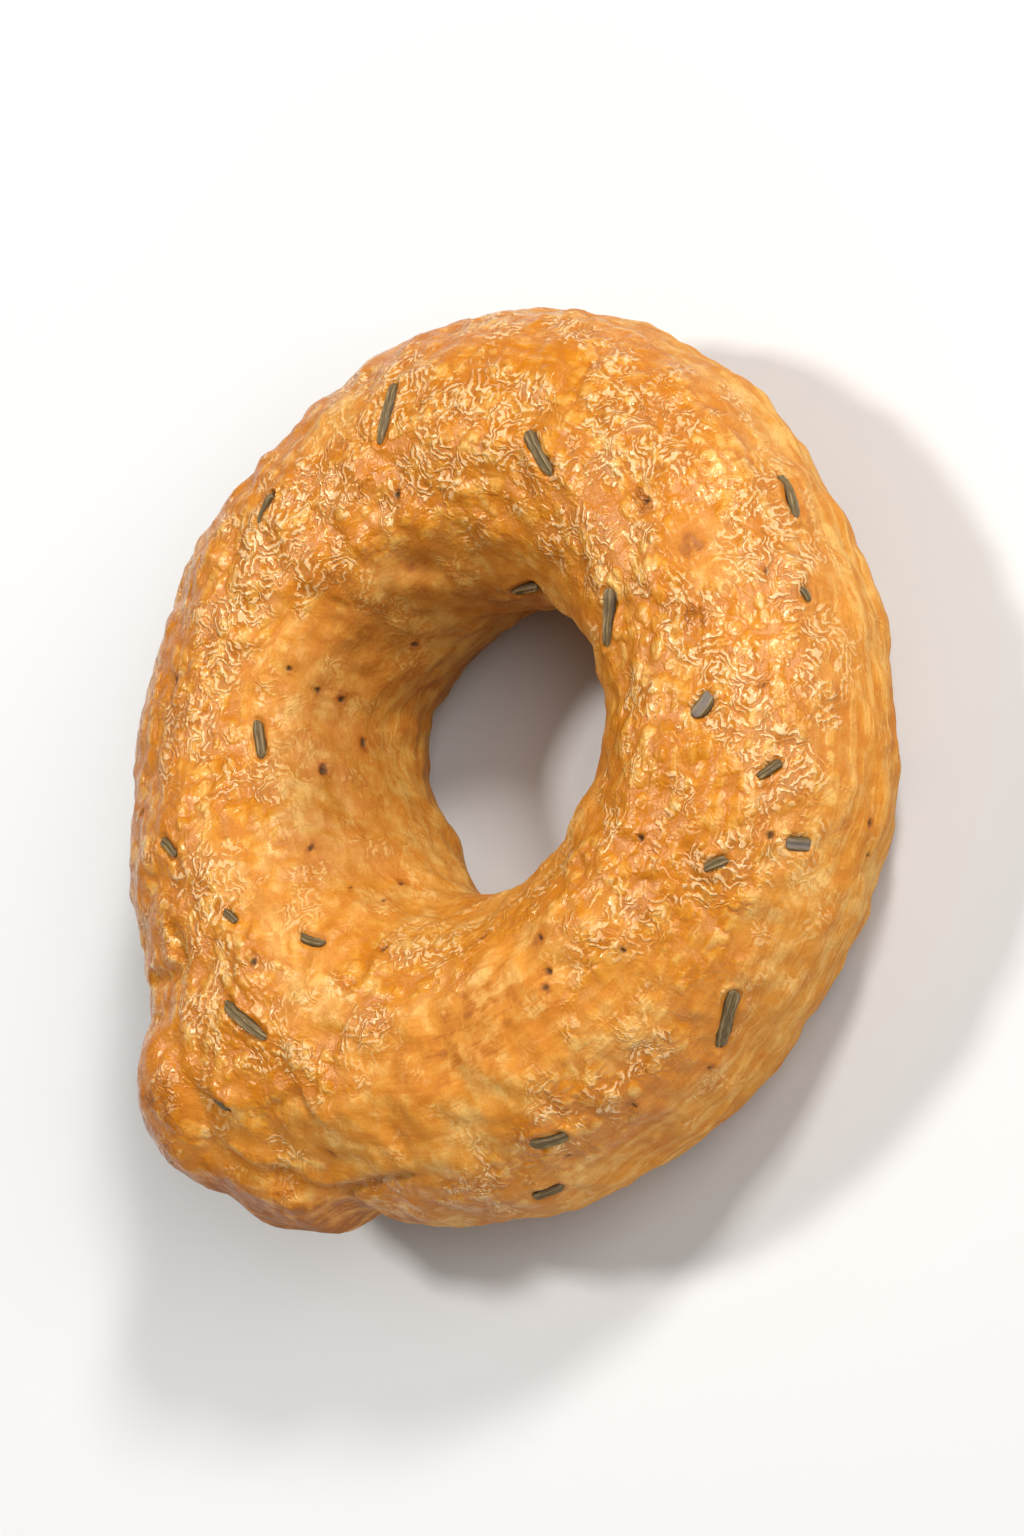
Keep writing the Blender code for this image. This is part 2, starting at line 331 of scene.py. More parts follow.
# A place for patterns that are drawn out along the ring. Its seam is under the ring.
def ringPlace(alpha, beta):
    around = dough["holeToRope"][0]
    over = dough["ropeRadius"][0] * ((beta + math.pi / 2) % tau)
    return Vector((math.cos(alpha) * around, math.sin(alpha) * around, over))


def streakPlace(alpha, beta):
    place = ringPlace(alpha, beta)
    length, width = skin["streakLength"], skin["streakWidth"]
    return Vector((place.x / length, place.y / length, place.z / width))


# For each kind of oval mark: the scale of its uneven edge, and the shares of its size where it fades.
ovalEdges = {"toastAndShade": (1.1, 1.25, 0.5), "calm": (0.7, 1.3, 0.6), "crowd": (0.7, 1.4, 0.7)}


# Height of the skin's own unevenness, in mm.
def skinRelief(alpha, beta, point):
    flank = smooth(*skin["flank"], math.sin(beta))
    softness = skin["patchSoftness"]
    patch = smooth(-softness, softness, noise.noise(point / skin["patchSize"] + Vector(skin["patchShift"])))
    height = sum(rise * noise.noise(point / size) for size, rise in skin["bumps"])
    warped = point + skin["blisterWarp"] * noise.noise_vector(point / skin["warpSize"])
    cell = noise.voronoi(warped / skin["blisterSize"])[0][0]
    blister = max(1 - (cell / skin["blisterReach"]) ** 2, 0) - skin["blisterMean"]
    height += skin["blisterHeight"] * blister * (1 - 0.8 * flank) * (0.4 + 0.6 * patch)
    lines = skin["wrinkleLines"] * noise.noise(point / skin["wrinkleSize"])
    height += skin["wrinkleHeight"] * patch * (1 - flank) * math.sin(tau * lines)
    return height + skin["streakHeight"] * (0.2 + 0.8 * flank) * noise.noise(streakPlace(alpha, beta))


# How brown a place is, from toasting and from painted shade, and how dark, calm and crowded with ridges it
# is. The mesh hands these to the material.
shareNames = ("toastAndShade", "dark", "calm", "crowd")


# Height of the skin over the dough, and the shares of a place.
def skinAt(alpha, beta, point):
    height = skinRelief(alpha, beta, point)
    shares = dict.fromkeys(shareNames, 0.0)

    def deepen(name, amount):
        shares[name] = max(shares[name], amount)

    for kind, (offset, *sizes) in marksNear(alpha):
        x, y = offset(alpha, beta)
        if kind == "pit":
            radius, depth, halo = sizes
            away = math.hypot(x, y) * (1 + 0.7 * noise.noise(point * 2.3))
            if away < radius + 3 * halo:
                height -= depth * smooth(radius * 1.3, radius * 0.4, away)
                deepen("dark", smooth(radius * 1.3, radius * 0.5, away))
                deepen("toastAndShade", skin["pitToast"] * math.exp(-(max(away - radius, 0) / halo) ** 2))
        elif kind in ovalEdges:
            halfLength, halfWidth, amount = sizes
            scale, outer, inner = ovalEdges[kind]
            away = math.hypot(x / halfLength, y / halfWidth) * (1 + 0.5 * noise.noise(point * scale))
            deepen(kind, amount * smooth(outer, inner, away))
        elif kind == "dent":
            halfLength, halfWidth, depth = sizes
            away = math.hypot(x / halfLength, y / halfWidth)
            if away < 2.5:
                height -= depth * math.exp(-away ** 2 * 1.2)
        elif kind == "seat":
            halfLength, halfWidth = sizes
            outside = Vector((max(abs(x) - halfLength + halfWidth, 0), y)).length - halfWidth
            if outside < 1:
                height -= skin["seatDepth"] * smooth(skin["seatWidth"], -skin["seatWidth"], outside)
                rim = math.exp(-((outside - skin["rimPlace"]) / skin["rimWidth"]) ** 2)
                height += skin["rimHeight"] * rim
                # browning and painted shadow round the leaf
                deepen("toastAndShade", skin["seatToastAndShade"] * smooth(0.45, 0.05, outside))
        else:
            line, width, depth, lip = sizes
            away, side = distanceToLine(Vector((x, y)), line)
            if away < width * 5:
                height -= depth * math.exp(-(away / width) ** 2)
                if side > 0:
                    height += lip * math.exp(-((away - 1.8 * width) / (1.1 * width)) ** 2)
                # painted shade along the crease
                deepen("toastAndShade", skin["creaseShade"] * math.exp(-(away / width) ** 2))
    return height, shares


# Whether a place is at a pit or a leaf, where the mesh has finer faces.
def needsFineFaces(alpha, beta):
    for kind, (offset, *sizes) in marksNear(alpha):
        if kind == "pit":
            halfLength, reach = 0, sizes[0] + skin["pitFineMargin"]
        elif kind == "seat":
            halfLength, reach = sizes[0], sizes[1] + skin["seatFineMargin"]
        else:
            continue
        x, y = offset(alpha, beta)
        if math.hypot(max(abs(x) - halfLength, 0), y) < reach:
            return True
    return False


def toFrame(point):
    return (point + Vector((*dough["holeMiddle"], 0))) * mm


def finishPiece(bm, name, material):
    mesh = bpy.data.meshes.new(name)
    bm.to_mesh(mesh)
    bm.free()
    mesh.materials.append(material)
    mesh.shade_smooth()
    piece = bpy.data.objects.new(name, mesh)
    bpy.context.scene.collection.objects.link(piece)
    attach(piece, "root")
    return piece


# The underside gets fewer steps, because it is flat.
def ropeAngle(share):
    under = dough["undersideShare"]
    flatHalf = math.radians(dough["undersideHalf"])
    if share < under:
        return -math.pi / 2 + flatHalf * (2 * share / under - 1)
    return -math.pi / 2 + flatHalf + (tau - 2 * flatHalf) * (share - under) / (1 - under)


def buildCrust(material):
    bm = bmesh.new()
    circle = bmesh.ops.create_circle(bm, segments=dough["stepsOver"], radius=1)["verts"]
    for corner in circle:
        beta = ropeAngle(math.atan2(corner.co.y, corner.co.x) % tau / tau)
        corner.co = Vector((dough["holeToRope"][0] + dough["ropeRadius"][0] * math.cos(beta), 0,
                            dough["ropeRadius"][0] * math.sin(beta)))
    bmesh.ops.spin(bm, geom=bm.verts[:] + bm.edges[:], cent=(0, 0, 0), axis=(0, 0, 1), angle=tau,
                   steps=dough["stepsAround"], use_merge=True)
    bmesh.ops.remove_doubles(bm, verts=bm.verts, dist=1e-5)
    bmesh.ops.recalc_face_normals(bm, faces=bm.faces)

    def anglesOf(co):
        return math.atan2(co.y, co.x), math.atan2(co.z, co.xy.length - dough["holeToRope"][0])

    # The edges to divide stay in the mesh's own order, so that every run gives the same mesh.
    fine = {edge for face in bm.faces if needsFineFaces(*anglesOf(face.calc_center_median()))
            for edge in face.edges}
    fineEdges = [edge for edge in bm.edges if edge in fine]
    bmesh.ops.subdivide_edges(bm, edges=fineEdges, cuts=1, use_grid_fill=True)

    layers = {name: bm.verts.layers.float.new(name) for name in shareNames}
    ringLayer = bm.verts.layers.float_vector.new("ringPlace")
    outLayer = bm.verts.layers.float_vector.new("outward")
    for corner in bm.verts:
        alpha, beta = anglesOf(corner.co)
        centre, section, radius = doughSection(alpha, beta)
        height, shares = skinAt(alpha, beta, atRadius(centre, section, radius))
        for name, share in shares.items():
            corner[layers[name]] = share
        corner[ringLayer] = ringPlace(alpha, beta)
        corner[outLayer] = section
        corner.co = toFrame(atRadius(centre, section, radius + height))
    crust = finishPiece(bm, "crust", material)
    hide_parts("tarallo")
    print("crust:", len(crust.data.polygons), "faces")


# Each leaf is a ball drawn out into a rod, with blunt uneven ends and a groove between two rolls on top.
def buildRosemary(material):
    bm = bmesh.new()
    draw = random.Random(herbs["shapeSeed"])
    placeLayer = bm.verts.layers.float_vector.new("leafPlace")
    greyLayer = bm.verts.layers.float.new("leafGrey")
    for index, (alphaDeg, betaDeg, turnDeg, length, width) in enumerate(herbPlaces):
        alpha, beta, turn = math.radians(alphaDeg), math.radians(betaDeg), math.radians(turnDeg)
        radius = stationValue(dough["ropeRadius"], alpha)
        reach = stationValue(dough["holeToRope"], alpha) + radius * math.cos(beta)
        tilt, bow, twist = (draw.uniform(*herbs[name]) for name in ("tilt", "bow", "twist"))
        blunt, slant = draw.choice(herbs["bluntness"]), draw.uniform(*herbs["slant"])
        leaf = bmesh.ops.create_uvsphere(bm, u_segments=herbs["sidesAround"], v_segments=herbs["sidesAlong"],
                                         radius=1)["verts"]
        for corner in leaf:
            along, across = corner.co.z, math.atan2(corner.co.y, corner.co.x)
            end = 1 if along > 0 else -1
            taper = max(1 - abs(along) ** (blunt if end > 0 else blunt + 3), 0) ** 0.5
            side = math.cos(across) * taper
            lift = math.sin(across) * taper
            x = along * length / 2
            ragged = 1
            for alongScale, acrossScale, shift, amount in herbs["raggedness"]:
                ragged += amount * noise.noise(Vector((x * alongScale, side * acrossScale, index * shift)))
            unevenEnd = slant * side + 0.5 * noise.noise(Vector((side * 3, end, index * 2.7)))
            x += end * max(abs(along) - herbs["endFrom"], 0) * unevenEnd
            y = side * width / 2 * herbs["visibleWidth"] * ragged + bow * (along ** 2 - 0.4)
            z = lift * herbs["thickness"] / 2 - herbs["sunk"] + tilt * along
            if lift > 0:
                groove = math.exp(-(side / herbs["lineWidth"]) ** 2)
                rolls = math.exp(-((abs(side) - herbs["rollPlace"]) / herbs["lineWidth"]) ** 2)
                z += (herbs["rollHeight"] * rolls - herbs["grooveDepth"] * groove) * taper
                z += herbs["unevenness"] * noise.noise(Vector((x * 1.8, y * 6, index * 3.3)))
            z += twist * y
            placeAlpha = alpha + (x * math.cos(turn) - y * math.sin(turn)) / reach
            placeBeta = beta + (x * math.sin(turn) + y * math.cos(turn)) / radius
            corner[placeLayer] = Vector((x, side, index * 0.37))
            corner[greyLayer] = 1 if index in herbs["greyLeaves"] else 0
            corner.co = toFrame(doughPoint(placeAlpha, placeBeta, z))
    bmesh.ops.recalc_face_normals(bm, faces=bm.faces)
    finishPiece(bm, "rosemary", material)
    print("rosemary:", len(herbPlaces), "leaves")


# Links an input to a socket, or sets its value. A colour is given as red, green and blue.
def give(tree, socket, value):
    if isinstance(value, bpy.types.NodeSocket):
        tree.links.new(value, socket)
    elif socket.type == "RGBA":
        socket.default_value = (*value, 1)
    else:
        socket.default_value = value


def addNode(tree, kind, inputs=None, **settings):
    node = tree.nodes.new(kind)
    for name, value in settings.items():
        setattr(node, name, value)
    for name, value in (inputs or {}).items():
        give(tree, node.inputs[name], value)
    return node


def maths(tree, operation, *values, clamp=False):
    inputs = dict(enumerate(values))
    return addNode(tree, "ShaderNodeMath", inputs, operation=operation, use_clamp=clamp).outputs[0]


def vectorMaths(tree, operation, *values):
    node = addNode(tree, "ShaderNodeVectorMath", dict(enumerate(values)), operation=operation)
    return node.outputs["Value" if operation in ("LENGTH", "DOT_PRODUCT") else "Vector"]


def mixColour(tree, share, first, second, blend="MIX"):
    node = addNode(tree, "ShaderNodeMix", data_type="RGBA", blend_type=blend)
    for index, value in ((0, share), (6, first), (7, second)):
        give(tree, node.inputs[index], value)
    return node.outputs[2]


def rangeOf(tree, value, low, high, toLow=0.0, toHigh=1.0):
    node = addNode(tree, "ShaderNodeMapRange", {"Value": value, "From Min": low, "From Max": high,
                                                "To Min": toLow, "To Max": toHigh},
                   interpolation_type="SMOOTHSTEP")
    return node.outputs["Result"]


def noiseOf(tree, vector, scale, detail=2.0, roughness=0.5, distortion=0.0):
    node = addNode(tree, "ShaderNodeTexNoise", {"Vector": vector, "Scale": scale, "Detail": detail,
                                                "Roughness": roughness, "Distortion": distortion})
    return node.outputs["Fac"]


def attributeOf(tree, name, output="Fac"):
    return addNode(tree, "ShaderNodeAttribute", attribute_name=name).outputs[output]


def newMaterial(name):
    material = bpy.data.materials.new(name)
    material.use_nodes = True
    return material, material.node_tree, material.node_tree.nodes["Principled BSDF"]


def newGroup(name, inputs, outputs):
    group = bpy.data.node_groups.new(name, "ShaderNodeTree")
    for socketName, kind, default in inputs:
        socket = group.interface.new_socket(socketName, in_out="INPUT", socket_type="NodeSocket" + kind)
        if default is not None:
            socket.default_value = default
    for socketName in outputs:
        group.interface.new_socket(socketName, in_out="OUTPUT", socket_type="NodeSocketFloat")
    return group, group.nodes.new("NodeGroupInput").outputs, group.nodes.new("NodeGroupOutput").inputs


def placeGroup(tree, group, inputs):
    return addNode(tree, "ShaderNodeGroup", inputs, node_tree=group).outputs


# Colours are linear. Sizes and heights are in mm.
bake = {
    "cream": (0.62, 0.35, 0.09),
    "golden": (0.53, 0.21, 0.018),
    "orange": (0.43, 0.13, 0.004),
    "darkBrown": (0.25, 0.07, 0.004),
    "pit": (0.05, 0.02, 0.005),
    "paintedHoleShade": (0.66, 0.62, 0.45),            # painted shade: the hole's wall is darkened by this, most at one side
    "holeShadeSide": 70, "shadeReach": 8,       # that side, in degrees round the ring, and how far out it is
    "paintedHighlight": (0.68, 0.45, 0.25),                # painted highlight on the ridges, pale peach like their glints
    "paintedHighlightShare": 0.68,
    "gloss": (1.0, 0.86, 0.66),                 # the tint of reflections
    "glossLevel": 0.47,
    "oiledRoughness": 0.16, "dryRoughness": 0.75,
    "sideHeight": 4.5, "topHeight": 11.5,       # dry crust up to the first, oiled crust from the second
    "wallFrom": 12.0, "wallTo": 8.5,            # the hole's wall begins between these, from its middle
    "broadSize": 3.6, "broadSpread": 0.17, "broadShare": 0.55,   # uneven baking, in broad patches
    "smallSize": 0.9, "smallSpread": 0.2, "smallShare": 0.45,    # and in small ones
    "streakStretch": (0.3, 0.3, 1.7),           # streaks are this much finer across the ring than along it
    "streakHeight": 0.08,
    "grainScale": 7.0, "grainShade": 0.22, "grainHeight": 0.028,
    "ridgeCell": 1.1, "ridgeSpacing": 0.4, "ridgeHeight": 0.06,
    "ridgeWarp": 1.1, "ridgeBreaks": 4.4,       # how far cells are bent, and how often lines are broken
    "ridgePatchScale": 0.4, "sparseRidges": 0.18,                # ridges outside the patches, against inside
    "blisterSize": 0.8, "blisterWarp": 0.9, "blisterHeight": 0.085,
    "lowShade": 0.9, "footShade": 0.55, "capPaleness": 0.7,      # orange between the ridges and dark brown beside them, partly the crust's own colour and partly painted shade; pale on their tops, partly a painted highlight
}


# A place moved by soft noise.
def warpedPlace(group, place, scale, roughness, reach):
    warp = addNode(group, "ShaderNodeTexNoise", {"Vector": place, "Scale": scale, "Detail": 2.0,
                                                 "Roughness": roughness}).outputs["Color"]
    centred = vectorMaths(group, "SUBTRACT", warp, (0.5, 0.5, 0.5))
    return vectorMaths(group, "MULTIPLY_ADD", centred, (reach, reach, reach), place)


# Short curved ridges of dried oil, side by side like the lines of a fingertip. Each small cell of the
# skin has its own direction and bend of line. Size is a cell's, Spacing the lines', both in mm.
def wrinkleGroup():
    group, given, result = newGroup("wrinkledSkin", [("Vector", "Vector", None), ("Outward", "Vector", None),
                                                     ("Size", "Float", 1.2), ("Spacing", "Float", 0.36)],
                                    ["Ridges", "Foot"])
    bent = warpedPlace(group, given["Vector"], 1.3, 0.6, bake["ridgeWarp"])
    scale = maths(group, "DIVIDE", 1.0, given["Size"])
    cells = addNode(group, "ShaderNodeTexVoronoi", {"Vector": bent, "Scale": scale}, feature="F1").outputs
    fromMiddle = vectorMaths(group, "SUBTRACT", bent, cells["Position"])
    draw = vectorMaths(group, "SUBTRACT", cells["Color"], (0.5, 0.5, 0.5))
    across = vectorMaths(group, "NORMALIZE", vectorMaths(group, "CROSS_PRODUCT", given["Outward"], draw))
    straight = vectorMaths(group, "DOT_PRODUCT", fromMiddle, across)
    rings = vectorMaths(group, "LENGTH", fromMiddle)
    bend = addNode(group, "ShaderNodeSeparateXYZ", {0: cells["Color"]}).outputs["X"]
    run = maths(group, "MULTIPLY_ADD", rings, bend, straight)
    turns = maths(group, "DIVIDE", maths(group, "MULTIPLY", run, tau), given["Spacing"])
    breaks = maths(group, "SUBTRACT", noiseOf(group, given["Vector"], 2.8, 1.0), 0.5)
    wave = maths(group, "MULTIPLY_ADD", breaks, bake["ridgeBreaks"], maths(group, "SINE", turns))
    inside = rangeOf(group, cells["Distance"], 0.85, 0.6)
    give(group, result["Ridges"], maths(group, "MULTIPLY", rangeOf(group, wave, -0.4, 1.1), inside))
    give(group, result["Foot"], maths(group, "MULTIPLY", rangeOf(group, wave, -0.3, -1.1), inside))
    return group


# Small rounded blisters, crowded together.
def blisterGroup():
    group, given, result = newGroup("blisters", [("Vector", "Vector", None), ("Size", "Float", 0.8)],
                                    ["Domes"])
    bent = warpedPlace(group, given["Vector"], 1.1, 0.5, bake["blisterWarp"])
    scale = maths(group, "DIVIDE", 1.0, given["Size"])
    cells = addNode(group, "ShaderNodeTexVoronoi", {"Vector": bent, "Scale": scale, "Smoothness": 0.25},
                    feature="SMOOTH_F1").outputs
    fromMiddle = maths(group, "POWER", maths(group, "DIVIDE", cells["Distance"], 0.7), 2.0)
    give(group, result["Domes"], maths(group, "SUBTRACT", 1.0, fromMiddle, clamp=True))
    return group


# Unevenness of one size in mm, used on the crust and on the leaves.
def mottleGroup():
    group, given, result = newGroup("unevenBake", [("Vector", "Vector", None), ("Size", "Float", 3.0),
                                                   ("Spread", "Float", 0.3)], ["Amount"])
    scale = maths(group, "DIVIDE", 1.0, given["Size"])
    value = noiseOf(group, given["Vector"], scale, 3.0, 0.6, 0.2)
    node = addNode(group, "ShaderNodeMapRange", {"Value": value,
                                                 "From Min": maths(group, "SUBTRACT", 0.5, given["Spread"]),
                                                 "From Max": maths(group, "ADD", 0.5, given["Spread"])})
    give(group, result["Amount"], node.outputs["Result"])
    return group


def inMillimetres(tree):
    coordinates = addNode(tree, "ShaderNodeTexCoord").outputs["Object"]
    middle = (dough["holeMiddle"][0] * mm, dough["holeMiddle"][1] * mm, 0)
    moved = vectorMaths(tree, "SUBTRACT", coordinates, middle)
    return addNode(tree, "ShaderNodeVectorMath", {0: moved, "Scale": 1 / mm}, operation="SCALE").outputs[0]


# What the crust's colour, gloss and relief are made from, mostly as shares from 0 to 1.
def crustMasks(tree, place, wrinkles, blisters, mottle):
    masks = {name: attributeOf(tree, name) for name in shareNames}
    parts = addNode(tree, "ShaderNodeSeparateXYZ", {0: place}).outputs
    flat = addNode(tree, "ShaderNodeCombineXYZ", {"X": parts["X"], "Y": parts["Y"]}).outputs[0]
    onTop = rangeOf(tree, parts["Z"], bake["sideHeight"], bake["topHeight"])
    inHole = rangeOf(tree, vectorMaths(tree, "LENGTH", flat), bake["wallFrom"], bake["wallTo"])
    topOnly = maths(tree, "MULTIPLY", onTop, rangeOf(tree, inHole, 0, 1, 1.0, 0.35))
    topOnly = maths(tree, "MULTIPLY", topOnly, maths(tree, "SUBTRACT", 1.0, masks["calm"]))
    # Painted shade on the hole's wall, darkest at one side and weaker all round it.
    side, reach = math.radians(bake["holeShadeSide"]), bake["shadeReach"]
    facing = vectorMaths(tree, "DOT_PRODUCT", flat, (math.cos(side) / reach, math.sin(side) / reach, 0))
    paintedShade = maths(tree, "MULTIPLY", inHole, rangeOf(tree, facing, -0.2, 0.7, 0.3, 1.0))

    drawnOut = vectorMaths(tree, "MULTIPLY", attributeOf(tree, "ringPlace", "Vector"), bake["streakStretch"])
    otherPatch = rangeOf(tree, noiseOf(tree, drawnOut, 0.7, 2.0), 0.36, 0.6)
    blister = placeGroup(tree, blisters, {"Vector": place, "Size": bake["blisterSize"]})
    raised = maths(tree, "MULTIPLY", blister["Domes"], rangeOf(tree, otherPatch, 0, 1, 0.35, 1.0))

    patch = rangeOf(tree, noiseOf(tree, place, bake["ridgePatchScale"], 2.0), 0.46, 0.6, 0.0, 0.7)
    patch = maths(tree, "MAXIMUM", patch, masks["crowd"])
    crowded = rangeOf(tree, patch, 0, 1, bake["sparseRidges"], 1.0)
    wrinkle = placeGroup(tree, wrinkles, {"Vector": place, "Outward": attributeOf(tree, "outward", "Vector"),
                                          "Size": bake["ridgeCell"], "Spacing": bake["ridgeSpacing"]})
    wrinkled = maths(tree, "MULTIPLY", wrinkle["Ridges"], crowded)
    relief = maths(tree, "MULTIPLY_ADD", wrinkled, 0.5, maths(tree, "MULTIPLY", raised, 0.5))

    masks.update({
        "onTop": onTop, "topOnly": topOnly, "paintedShade": paintedShade, "patch": patch, "raised": raised,
        "wrinkled": wrinkled, "foot": maths(tree, "MULTIPLY", wrinkle["Foot"], crowded), "relief": relief,
        "streaks": noiseOf(tree, drawnOut, 1.0, 4.0, 0.72, 0.3),
        "grain": noiseOf(tree, place, bake["grainScale"], 3.0, 0.6),
        "broad": placeGroup(tree, mottle, {"Vector": place, "Size": bake["broadSize"],
                                           "Spread": bake["broadSpread"]})["Amount"],
        "small": placeGroup(tree, mottle, {"Vector": place, "Size": bake["smallSize"],
                                           "Spread": bake["smallSpread"]})["Amount"],
    })
    return masks


# Golden, more orange in broad patches and between the ridges, with painted shade beside them, a pale top on
# them that is partly a painted highlight, and painted shade on the hole's wall.
def crustColour(tree, masks):
    def blend(share, colourName, method="MIX", only=None):
        nonlocal colour
        share = share if only is None else maths(tree, "MULTIPLY", share, only)
        colour = mixColour(tree, share, colour, bake[colourName], method)

    topOnly, relief, streaks = masks["topOnly"], masks["relief"], masks["streaks"]
    baked = maths(tree, "MULTIPLY_ADD", masks["broad"], bake["broadShare"],
                  maths(tree, "MULTIPLY", masks["small"], bake["smallShare"]))
    colour = mixColour(tree, rangeOf(tree, baked, 0.1, 0.55), bake["cream"], bake["golden"])
    blend(rangeOf(tree, baked, 0.5, 0.9, 0.0, 0.8), "orange")
    # Paler where the ridges crowd, partly a painted highlight.
    blend(masks["patch"], "cream", only=maths(tree, "MULTIPLY", topOnly, 0.25))
    # More orange between the ridges and dark brown beside them: partly the crust's own colour, partly painted
    # shade.
    blend(rangeOf(tree, relief, 0.4, 0.08, 0.0, bake["lowShade"]), "orange", only=topOnly)
    deepest = rangeOf(tree, relief, 0.12, 0.0, 0.0, 0.2)
    blend(maths(tree, "MULTIPLY_ADD", masks["foot"], bake["footShade"], deepest), "darkBrown", only=topOnly)
    # Pale ridge tops, partly a painted highlight.
    blend(rangeOf(tree, relief, 0.3, 0.75, 0.0, bake["capPaleness"]), "cream")
    # Painted highlight on the ridges of the oiled top.
    highlightPainted = maths(tree, "MULTIPLY", rangeOf(tree, masks["wrinkled"], 0.35, 0.8), topOnly)
    blend(highlightPainted, "paintedHighlight", only=bake["paintedHighlightShare"])
    blend(rangeOf(tree, streaks, 0.48, 0.65), "cream", only=rangeOf(tree, masks["onTop"], 0, 1, 0.75, 0.15))
    blend(rangeOf(tree, streaks, 0.48, 0.34, 0.0, 0.6), "orange")
    # Browning, with painted shade round the leaves, along the creases and on the joint's lower end.
    toastAndShade = maths(tree, "MULTIPLY", masks["toastAndShade"], rangeOf(tree, masks["small"], 0, 1, 0.5, 1.25))
    toastAndShade = maths(tree, "MULTIPLY", toastAndShade, rangeOf(tree, streaks, 0.4, 0.62, 1.2, 0.65))
    blend(rangeOf(tree, toastAndShade, 0.0, 1.0, 0.0, 0.9), "orange")
    blend(rangeOf(tree, toastAndShade, 0.5, 1.15, 0.0, 0.85), "darkBrown")
    blend(rangeOf(tree, masks["grain"], 0.35, 0.7, 0.0, bake["grainShade"]), "darkBrown")
    # painted shade on the hole's wall
    blend(masks["paintedShade"], "paintedHoleShade", "MULTIPLY")
    blend(masks["dark"], "pit")
    return colour


# Height of the finest relief, in mm.
def crustHeight(tree, masks):
    height = maths(tree, "MULTIPLY", masks["wrinkled"], bake["ridgeHeight"])
    height = maths(tree, "MULTIPLY_ADD", masks["raised"], bake["blisterHeight"], height)
    height = maths(tree, "MULTIPLY", height, rangeOf(tree, masks["topOnly"], 0, 1, 0.12, 1.0))
    onSide = rangeOf(tree, masks["onTop"], 0, 1, 1.0, 0.3)
    streakRise = maths(tree, "MULTIPLY", onSide, bake["streakHeight"])
    height = maths(tree, "MULTIPLY_ADD", masks["streaks"], streakRise, height)
    return maths(tree, "MULTIPLY_ADD", masks["grain"], bake["grainHeight"], height)


def crustMaterial(wrinkles, blisters, mottle):
    material, tree, shader = newMaterial("oiledCrust")
    masks = crustMasks(tree, inMillimetres(tree), wrinkles, blisters, mottle)
    oiled = maths(tree, "MULTIPLY", masks["topOnly"], rangeOf(tree, masks["relief"], 0.0, 0.3, 0.55, 1.0))
    oiled = maths(tree, "MULTIPLY", oiled, rangeOf(tree, masks["dark"], 0, 1, 1.0, 0.0))
    give(tree, shader.inputs["Base Color"], crustColour(tree, masks))
    give(tree, shader.inputs["Roughness"],
         rangeOf(tree, oiled, 0, 1, bake["dryRoughness"], bake["oiledRoughness"]))
    give(tree, shader.inputs["Specular IOR Level"], bake["glossLevel"])
    give(tree, shader.inputs["Specular Tint"], bake["gloss"])
    height = crustHeight(tree, masks)
    bump = addNode(tree, "ShaderNodeBump", {"Height": height, "Distance": mm, "Strength": 1.0})
    give(tree, shader.inputs["Normal"], bump.outputs[0])
    return material


leafTint = {
    "green": (0.075, 0.045, 0.013),
    "grey": (0.25, 0.175, 0.075),
    "edge": (0.035, 0.018, 0.006),
    "bluish": (0.15, 0.12, 0.105),
    "roughness": 0.6,
    "glossLevel": 0.35,
    "fibreScale": (0.8, 4.0),                   # along and across the leaf
    "fibreHeight": 0.04,
    "patchSize": 0.8, "patchSpread": 0.2,
}


def rosemaryMaterial(mottle):
    material, tree, shader = newMaterial("driedRosemary")
    leaf = attributeOf(tree, "leafPlace", "Vector")
    parts = addNode(tree, "ShaderNodeSeparateXYZ", {0: leaf}).outputs
    across = maths(tree, "ABSOLUTE", parts["Y"])
    alongScale, acrossScale = leafTint["fibreScale"]
    fibres = addNode(tree, "ShaderNodeCombineXYZ", {"X": maths(tree, "MULTIPLY", parts["X"], alongScale),
                                                   "Y": maths(tree, "MULTIPLY", parts["Y"], acrossScale),
                                                   "Z": parts["Z"]}).outputs[0]
    grain = noiseOf(tree, fibres, 1.6, 2.0, 0.6)
    uneven = placeGroup(tree, mottle, {"Vector": leaf, "Size": leafTint["patchSize"],
                                       "Spread": leafTint["patchSpread"]})["Amount"]
    ribs = rangeOf(tree, maths(tree, "ABSOLUTE", maths(tree, "SUBTRACT", across, 0.45)), 0.28, 0.05)
    ribs = maths(tree, "MULTIPLY_ADD", ribs, 0.65, 0.35)
    lit = maths(tree, "MULTIPLY", rangeOf(tree, grain, 0.35, 0.62), ribs)
    colour = mixColour(tree, lit, leafTint["green"], leafTint["grey"])
    colour = mixColour(tree, rangeOf(tree, uneven, 0.3, 1.0, 0.0, 0.6), colour, leafTint["green"])
    middle = rangeOf(tree, across, 0.75, 0.25, 0.0, 0.75)
    bluish = maths(tree, "MULTIPLY", attributeOf(tree, "leafGrey"), middle)
    colour = mixColour(tree, bluish, colour, leafTint["bluish"])
    colour = mixColour(tree, rangeOf(tree, across, 0.78, 1.0), colour, leafTint["edge"])
    give(tree, shader.inputs["Base Color"], colour)
    give(tree, shader.inputs["Roughness"], leafTint["roughness"])
    give(tree, shader.inputs["Specular IOR Level"], leafTint["glossLevel"])
    height = maths(tree, "MULTIPLY", grain, leafTint["fibreHeight"])
    bump = addNode(tree, "ShaderNodeBump", {"Height": height, "Distance": mm})
    give(tree, shader.inputs["Normal"], bump.outputs[0])
    return material


